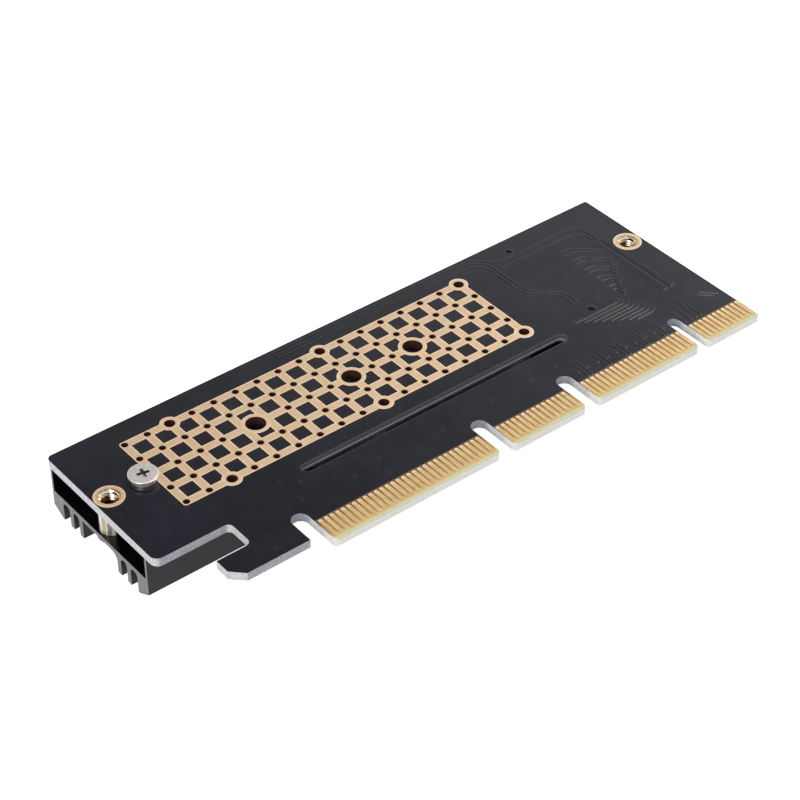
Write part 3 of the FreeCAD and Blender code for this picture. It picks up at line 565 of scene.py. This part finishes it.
smallLooks = {
    # two colours and the roughness, then a specular level or the stretch of the tool lines
    "blackScrew": (tone(26, 26, 28), tone(52, 52, 54), 0.42),
    "socketPlastic": (tone(9, 9, 10), tone(15, 15, 16), 0.6, 0.12),
    "greyPad": (tone(128, 132, 138), tone(150, 153, 158), 0.8),
    "pinGold": (tone(222, 184, 118), tone(190, 150, 90), 0.3),
    "tinnedTab": (tone(206, 206, 204), tone(170, 170, 168), 0.36, (3, 3, 3)),
    # colours of a chip's body and specks, and the length of its tinned ends
    "ceramicChip": (tone(142, 112, 82), tone(120, 92, 66), 0.25),
    "bulkChip": (tone(142, 112, 82), tone(120, 92, 66), 0.4),
    "resistorChip": (tone(28, 28, 30), tone(44, 44, 46), 0.25),
    "tinned": tone(196, 196, 198),
}


def mouldedPlastic(name, colour, light, roughness, specular=0.5):
    # fine spark-eroded grain
    material, tree, shader = startFinish(name)
    setSockets(shader, specular=specular)
    place = placeInMm(tree)
    grain = noise(tree, place, 11, 3, 0.6)
    clouds = noise(tree, place, 0.8, 2)
    base = mixColour(tree, ease(tree, clouds, 0.35, 0.75), colour, light)
    base = mixColour(tree, together(tree, edgeMask(tree, 0.06), 0.5), base, light)
    feed(tree, shader.inputs["Base Color"], base)
    feed(tree, shader.inputs["Roughness"],
         mixValue(tree, grain, roughness - 0.08, roughness + 0.08))
    feed(tree, shader.inputs["Normal"], bump(tree, grain, 0.015, 0.6))
    return material


def chipFinish(name, node, colour, speck, cap):
    # fired chip body with tinned ends, for chips that lie along Y on one line
    low, high = boxInMm(node)
    material, tree, shader = startFinish(name)
    place = placeInMm(tree)
    grain = noise(tree, place, 14, 3, 0.7)
    body = mixColour(tree, ease(tree, grain, 0.3, 0.7), colour, speck)
    away = calc(tree, "ABSOLUTE",
                calc(tree, "SUBTRACT", axes(tree, place)[1], (low.y + high.y) / 2))
    capStart = (high.y - low.y) / 2 - cap
    onCap = ease(tree, away, capStart - 0.02, capStart + 0.02)
    feed(tree, shader.inputs["Base Color"],
         mixColour(tree, onCap, body, smallLooks["tinned"]))
    feed(tree, shader.inputs["Metallic"], onCap)
    feed(tree, shader.inputs["Roughness"], mixValue(tree, onCap, 0.5, 0.32))
    feed(tree, shader.inputs["Normal"], bump(tree, grain, 0.02, 0.5))
    return material


blackMask = maskFinish()
postMetal = postFinish()
silverMetal = silverFinish()
wear(blackMask, "circuit_board")
wear(latticeFinish(), "cooling_lattice", "hook_end_ring", "end_ring")
wear(contactFinish(), *[name for name in nodes if "side_contacts" in name])
wear(sinkFinish(), "heatsink")
wear(postMetal, "hook_end_post", "end_post", "drive_standoff")
wear(silverMetal, "standoff_screw", "drive_screw")
wear(mouldedPlastic("blackScrew", *smallLooks["blackScrew"]), "hook_end_screw", "end_screw")
wear(mouldedPlastic("socketPlastic", *smallLooks["socketPlastic"]), "socket_housing")
wear(turnedMetal("pinGold", *smallLooks["pinGold"]), "socket_contacts")
wear(turnedMetal("tinnedTab", *smallLooks["tinnedTab"]), "socket_hold_downs")
wear(mouldedPlastic("greyPad", *smallLooks["greyPad"]), "thermal_pad")
for name, node in (("ceramicChip", "coupling_capacitors"), ("bulkChip", "bulk_capacitors"),
                   ("resistorChip", "resistors")):
    wear(chipFinish(name, node, *smallLooks[name]), node)
print("finishes on", len(nodes), "nodes")


def addPiece(name, points, faces, material, slot, smooth=True):
    # new mesh from points in millimetres
    mesh = bpy.data.meshes.new(name)
    mesh.from_pydata([Vector(point) * mm for point in points], [], faces)
    mesh.materials.append(material)
    if smooth:
        mesh.shade_smooth()
    piece = bpy.data.objects.new(name, mesh)
    scene.collection.objects.link(piece)
    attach(piece, "root")
    return piece


def addTo(shape, points, faces):
    # joins more points and faces to a (points, faces) pair
    start = len(shape[0])
    shape[0].extend(points)
    shape[1].extend([tuple(start + corner for corner in face) for face in faces])


def turnedShape(profile, middle, count):
    # profile of (radius, height) pairs turned round an upright axis, on which it starts
    points, faces = [], []
    for radius, height in profile:
        for i in range(count):
            angle = 2 * math.pi * i / count
            points.append((middle[0] + radius * math.cos(angle),
                           middle[1] + radius * math.sin(angle), height))
    for row in range(len(profile) - 1):
        for i in range(count):
            j = (i + 1) % count
            faces.append((row * count + i, row * count + j,
                          (row + 1) * count + j, (row + 1) * count + i))
    return points, faces


traces = {"top": 0.16, "slope": 0.21, "height": 0.019, "sunk": 0.005, "bend": 1.7}
stubMiddles = [64.9 + 4 * k for k in range(5)]    # pairs of stubs, with a dome on each side


def rounded(route):
    # route with every bend turned into a short arc of five points
    spots = [Vector(point) for point in route]
    smooth = [spots[0]]
    for before, spot, after in zip(spots, spots[1:], spots[2:]):
        reach = min(traces["bend"], (spot - before).length * 0.45, (after - spot).length * 0.45)
        start = spot + (before - spot).normalized() * reach
        stop = spot + (after - spot).normalized() * reach
        for i in range(5):
            share = i / 4
            smooth.append(start.lerp(spot, share).lerp(spot.lerp(stop, share), share))
    return smooth + [spots[-1]]


def ribbon(route, left=None, right=None):
    # raised ribbon along a route of (x, y) points, with a slope on each side and at both ends
    left = left or traces["slope"]
    right = right or traces["slope"]
    half = traces["top"] / 2
    offsets = [(half + left, False), (half, True), (-half, True), (-half - right, False)]
    spots = rounded(route)
    ways = [(after - before).normalized() for before, after in zip(spots, spots[1:])]
    rows = []
    for i, spot in enumerate(spots):
        before, after = ways[max(i - 1, 0)], ways[min(i, len(ways) - 1)]
        across = (before.orthogonal() + after.orthogonal()).normalized()
        across /= max(across.dot(after.orthogonal()), 0.5)
        rows.append((spot, across, True))
    slope = traces["slope"]
    rows.insert(0, (spots[0] - ways[0] * slope, rows[0][1], False))
    rows.append((spots[-1] + ways[-1] * slope, rows[-1][1], False))
    points, faces = [], []
    for spot, across, raised in rows:
        for offset, up in offsets:
            height = traces["height"] if up and raised else -traces["sunk"]
            side = spot + across * offset
            points.append((side.x + firstVia.x, side.y + firstVia.y, boardTop + height))
    for row in range(len(rows) - 1):
        for side in range(3):
            a = row * 4 + side
            faces.append((a, a + 1, a + 5, a + 4))
    return points, faces


def traceRoutes():
    # routes of the traces under the mask, in millimetres from the lattice's first via
    routes = [
        # three long ones past the lattice, and a short one beside them
        [(29.9, 2.6), (68.9, 2.6), (70.65, 0.85), (70.65, -8.2), (75.1, -12.3), (75.1, -15.2)],
        [(30, 3.35), (69.3, 3.35), (71.35, 1.3), (71.35, -7.9), (75.85, -12), (75.85, -15)],
        [(30, 4.1), (69.5, 4.1), (73, 0.6), (88.5, 0.6), (90.1, -1.1), (90.1, -4.5)],
        [(72.4, -0.85), (87.3, -0.85), (89.3, -2.6), (89.3, -4)],
        # pairs by the first contacts
        [(92.2, -25.8), (94, -27.6)], [(92.8, -25.4), (95, -27.6)],
        [(85.6, -30), (85.6, -26.8)], [(86.8, -30), (86.8, -26.9)],
        [(88, -30), (88, -27.5), (88.4, -25)], [(88.9, -30), (88.9, -27)],
    ]
    # a fan of lane pairs that leaves the socket
    for k in range(10):
        start = -3.6 - 2.95 * (k // 2) - 1.05 * (k % 2)
        bend, end = 84.6 - 0.12 * k, 89 - 0.62 * k
        low = start - 0.9 * (end - bend)
        routes.append([(82.6, start), (bend, start), (end, low), (end, low - 1 - 0.1 * k)])
    # a stair of lanes below it, each turned up at its right end
    for k in range(8):
        level = -19.3 - 0.75 * k
        rise = 0.6 + 0.05 * k
        end = 80.9 + 0.4 * k
        routes.append([(71.9 + 1.2 * k, level), (end, level), (end + rise, level + rise)])
    # pairs of stubs above the contacts
    for k, middle in enumerate(stubMiddles):
        for side in (-0.35, 0.35):
            routes.append([(middle + side, -30.4), (middle + side, -26.6 - 0.2 * (k % 3))])
    return routes


def makeTraces():
    shape = [], []
    for route in traceRoutes():
        addTo(shape, *ribbon(route))
    # both banks of a long shallow groove beside the fan
    addTo(shape, *ribbon([(89.5, -21.5), (89.5, -5)], left=1.4))
    addTo(shape, *ribbon([(90.5, -21.5), (90.5, -5)], right=1.4))
    addPiece("maskedTraces", *shape, blackMask, "black_mask_board", smooth=False)


dimple = {
    "profile": ((0, 0.002), (0.1, 0.006), (0.18, 0.014), (0.26, 0.017), (0.34, 0.011),
                (0.46, -0.004)),
    "places": ((13.1, -25.7), (27.2, -25.7), (38.9, -26.1), (49, -25.7), (57, -25.5),
               (62, -25.6), (12.8, -20.6), (15.2, -22.6), (22.2, -26.5), (26.7, -28.9),
               (4, -31.8), (-9, -12.6), (71.8, -18.7), (79, -16.5)),
}


def makeTentedVias():
    # small dimpled domes where the mask covers a via
    places = list(dimple["places"])
    places += [(middle + side, -28.6) for middle in stubMiddles for side in (-1, 1)]
    profile = [(radius, boardTop + height) for radius, height in dimple["profile"]]
    shape = [], []
    for x, y in places:
        addTo(shape, *turnedShape(profile, (x + firstVia.x, y + firstVia.y), 20))
    addPiece("tentedVias", *shape, blackMask, "black_mask_board")


makeTraces()
makeTentedVias()
print("traces and vias under the mask")

thread = {
    "outer": 1.26, "crest": 1.06, "pitch": 0.45, "low": 7.95, "high": 9.8, "steps": 48,
    # half the height of the ridge's root and of its crest, as shares of the pitch
    "root": 0.46, "flat": 0.06,
}


def makeThread(name, middle):
    # one helical ridge inside the bore of a post, above the screw's tip
    pitch, steps = thread["pitch"], thread["steps"]
    turns = (thread["high"] - thread["low"]) / pitch
    count = round(turns * steps)
    root, flat = thread["root"], thread["flat"]
    section = [(thread["outer"], -root), (thread["crest"], -flat), (thread["crest"], flat),
               (thread["outer"], root)]
    points, faces = [], []
    for i in range(count + 1):
        angle = 2 * math.pi * i / steps
        height = thread["low"] + pitch * i / steps
        fade = min(1, i / steps * 2, (count - i) / steps * 2)    # over half a turn at each end
        for radius, lift in section:
            radius = thread["outer"] - (thread["outer"] - radius) * fade
            points.append((middle.x + radius * math.cos(angle),
                           middle.y + radius * math.sin(angle), height + lift * pitch))
    for i in range(count):
        for side in range(3):
            a = i * 4 + side
            faces.append((a, a + 1, a + 5, a + 4))
    addPiece(name, points, faces, postMetal, "post_metal")


for name, middle in zip(("hookEndThread", "endThread"), postMiddles):
    makeThread(name, middle)
print("threads cut in both posts")

silverHead = {
    # radius and height above the copper, from the shank's tip to the face
    "profile": ((0, -1.3), (0.6, -1.3), (0.75, -1.15), (0.75, 0.005), (1.95, 0.005),
                (1.95, 0.46), (1.97, 0.53), (2.05, 0.59), (2.18, 0.65), (2.28, 0.72),
                (2.325, 0.81), (2.325, 0.93), (2.3, 1.01), (2.24, 1.068), (2.15, 1.092),
                (2.06, 1.098), (0, 1.098)),
    # cross recess: half lengths and half widths at the face and at the bottom
    "turn": -13, "wings": (1.0, 0.5), "widths": (0.27, 0.15), "depth": 0.62,
    "clear": 0.08,                # cutter above the face, where it is longer and wider by these
    "longer": 0.06, "wider": 0.02,
}


def crossCutter(top):
    # two crossed bars that taper downwards
    look = silverHead
    points, faces = [], []
    for quarter in (0, 90):
        turn = Matrix.Rotation(math.radians(look["turn"] + quarter), 3, "Z")
        bottom = look["wings"][1], look["widths"][1], top - look["depth"]
        mouth = (look["wings"][0] + look["longer"], look["widths"][0] + look["wider"],
                 top + look["clear"])
        for long, wide, height in (bottom, mouth):
            for side, end in ((-1, -1), (1, -1), (1, 1), (-1, 1)):
                spot = turn @ Vector((long * side, wide * end, 0))
                points.append((spot.x + standoffMiddle.x, spot.y + standoffMiddle.y, height))
        a = 8 * (quarter // 90)
        faces += [(a + 3, a + 2, a + 1, a), (a + 4, a + 5, a + 6, a + 7)]
        faces += [(a + i, a + (i + 1) % 4, a + 4 + (i + 1) % 4, a + 4 + i) for i in range(4)]
    mesh = bpy.data.meshes.new("crossCutter")
    mesh.from_pydata([Vector(point) * mm for point in points], [], faces)
    cutter = bpy.data.objects.new("crossCutter", mesh)
    scene.collection.objects.link(cutter)
    return cutter


def makeSilverHead():
    # flat screw with a rounded rim over a narrower waist, and a cross recess
    top = boxInMm("standoff_screw")[1].z
    profile = [(radius, height + copperTop) for radius, height in silverHead["profile"]]
    points, faces = turnedShape(profile, standoffMiddle, 96)
    head = addPiece("standoffScrewHead", points, faces, silverMetal, "silver_screw")
    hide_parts("standoff_screw")
    cutter = crossCutter(top)
    cross = head.modifiers.new("cross", "BOOLEAN")
    cross.operation = "DIFFERENCE"
    cross.object = cutter
    cross.solver = "EXACT"
    cross.use_self = True
    bpy.context.view_layer.update()
    shown = head.evaluated_get(bpy.context.evaluated_depsgraph_get())
    finished = bpy.data.meshes.new_from_object(shown)
    head.modifiers.clear()
    head.data = finished
    finished.set_sharp_from_angle(angle=math.radians(35))
    bpy.data.objects.remove(cutter)


makeSilverHead()
print("silver screw with its cross recess")

room = {
    "floorSize": 3.0, "floorColour": 0.3, "floorGlow": 0.97,
    "horizon": 1.0, "tent": 0.62, "darkBack": 0.1, "paleBack": 0.76,
    "back": (0.627, 0.779, 0), "backSpread": (0.2, 0.6), "backLift": (0.632, 0.592),
    "horizonLift": (0.28, 0.46),
    "lamps": {
        "topSoftbox": {"place": (0.32, 0.04, 0.6), "aim": (0, 0, 0), "size": 0.5, "power": 3.4},
        "leftSoftbox": {"place": (-0.75, -0.3, 0.5), "aim": (0, 0, 0), "size": 0.6, "power": 3},
    },
}


def makeFloor():
    half = room["floorSize"] / 2
    mesh = bpy.data.meshes.new("studioFloor")
    mesh.from_pydata([(-half, -half, 0), (half, -half, 0), (half, half, 0), (-half, half, 0)],
                     [], [(0, 1, 2, 3)])
    floor = bpy.data.objects.new("studioFloor", mesh)
    scene.collection.objects.link(floor)
    material, tree, shader = startFinish("palePaper")
    level = room["floorColour"]
    paper = mixColour(tree, noise(tree, placeInMm(tree), 0.05, 2), (level, level, level, 1),
                      (level + 0.02, level + 0.02, level + 0.02, 1))
    feed(tree, shader.inputs["Base Color"], paper)
    setSockets(shader, roughness=0.9, specular=0.0)
    # the paper shows white to the eye and in reflections, and gives the object no more light
    path = put(tree, "LightPath").outputs
    seen = largest(tree, path["Is Camera Ray"], path["Is Glossy Ray"],
                   path["Is Transmission Ray"])
    shader.inputs["Emission Color"].default_value = (1, 1, 1, 1)
    feed(tree, shader.inputs["Emission Strength"], together(tree, seen, room["floorGlow"]))
    mesh.materials.append(material)


def makeWorld():
    # a pale tent, white round the horizon, dim behind the card except low down
    world = bpy.data.worlds.new("studio")
    world.use_nodes = True
    tree = world.node_tree
    backdrop = tree.nodes["Background"]
    look = put(tree, "TexCoord").outputs["Generated"]
    upward = axes(tree, look)[2]
    behind = dot(tree, look, room["back"])
    shade = mixValue(tree, ease(tree, upward, *room["backLift"]),
                     room["darkBack"], room["paleBack"])
    tent = mixValue(tree, ease(tree, behind, *room["backSpread"]), room["tent"], shade)
    feed(tree, backdrop.inputs["Strength"],
         mixValue(tree, ease(tree, upward, *room["horizonLift"]), room["horizon"], tent))
    backdrop.inputs["Color"].default_value = (1, 1, 1, 1)
    scene.world = world


def makeLamps():
    for name, lamp in room["lamps"].items():
        light = bpy.data.lights.new(name, "AREA")
        light.shape = "SQUARE"
        light.size = lamp["size"]
        light.energy = lamp["power"]
        holder = bpy.data.objects.new(name, light)
        holder.location = lamp["place"]
        aim = Vector(lamp["aim"]) - holder.location
        holder.rotation_euler = aim.to_track_quat("-Z", "Y").to_euler()
        scene.collection.objects.link(holder)


view = {"place": (-0.172205, -0.210255, 0.227598), "aim": (-0.004476, -0.00159, 0.0101),
        "roll": 0.103, "lens": 102.965, "sensor": 36}


def makeCamera():
    camera = bpy.data.cameras.new("studioCamera")
    camera.lens = view["lens"]
    camera.sensor_width = view["sensor"]
    camera.clip_start = 0.01
    holder = bpy.data.objects.new("studioCamera", camera)
    place = Vector(view["place"])
    forward = (Vector(view["aim"]) - place).normalized()
    right = forward.cross(Vector((0, 0, 1))).normalized()
    right = Matrix.Rotation(math.radians(-view["roll"]), 3, forward) @ right
    up = right.cross(forward)
    turn = Matrix((right, up, -forward)).transposed().to_4x4()
    holder.matrix_world = Matrix.Translation(place) @ turn
    scene.collection.objects.link(holder)
    scene.camera = holder


makeFloor()
makeWorld()
makeLamps()
makeCamera()
scene.view_settings.view_transform = "Standard"
print("room, lamps and camera ready")
